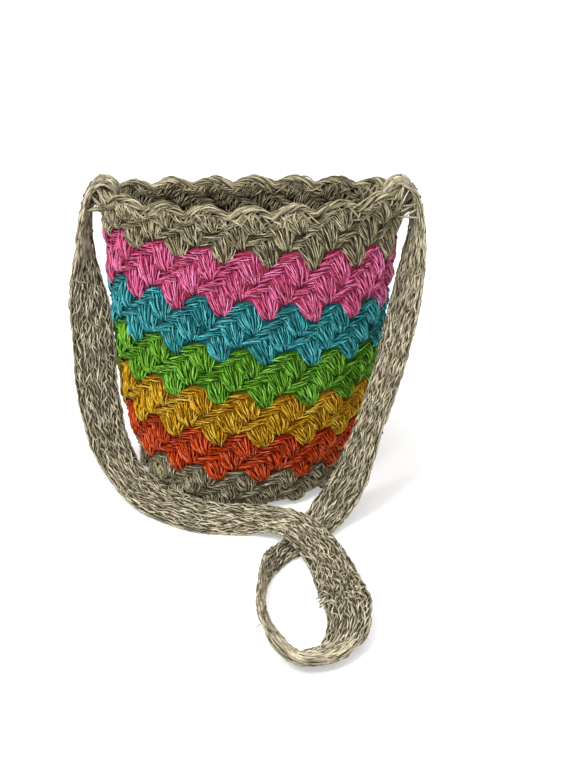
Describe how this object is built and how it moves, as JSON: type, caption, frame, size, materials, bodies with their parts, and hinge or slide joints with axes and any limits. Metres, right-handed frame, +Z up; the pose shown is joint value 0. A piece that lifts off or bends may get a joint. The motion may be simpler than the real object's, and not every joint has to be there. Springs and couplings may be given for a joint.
{
  "type": "crocheted shoulder bag",
  "caption": "Open-topped crocheted shoulder bag of plant-fibre yarn: round base, slanting shell-stitch rows in bands of colour, wide oval mouth and one long flat strap looped in front.",
  "frame": {"origin": "middle of the base's flat underside, on the surface that the bag stands on", "axes": "+Z up, X across the wide mouth from strap end to strap end, the front with the strap's loop faces -Y"},
  "size_m": [0.3438, 0.486, 0.3085],
  "materials": {
    "fique_natural": "matt plant-fibre yarn, undyed",
    "fique_strap": "matt plant-fibre yarn, undyed, knitted flat",
    "fique_orange": "matt plant-fibre yarn, dyed orange red",
    "fique_yellow": "matt plant-fibre yarn, dyed ochre yellow",
    "fique_green": "matt plant-fibre yarn, dyed green",
    "fique_teal": "matt plant-fibre yarn, dyed teal",
    "fique_pink": "matt plant-fibre yarn, dyed pink"
  },
  "bodies": {
    "root": {"natural_base": "fique_natural", "orange_rows": "fique_orange", "yellow_rows": "fique_yellow", "green_rows": "fique_green", "teal_rows": "fique_teal", "pink_rows": "fique_pink", "natural_upper_rows": "fique_natural", "rim_edging": "fique_natural", "strap": "fique_strap", "strap_lashing_left": "fique_strap", "strap_lashing_right": "fique_strap"}
  },
  "joints": []
}
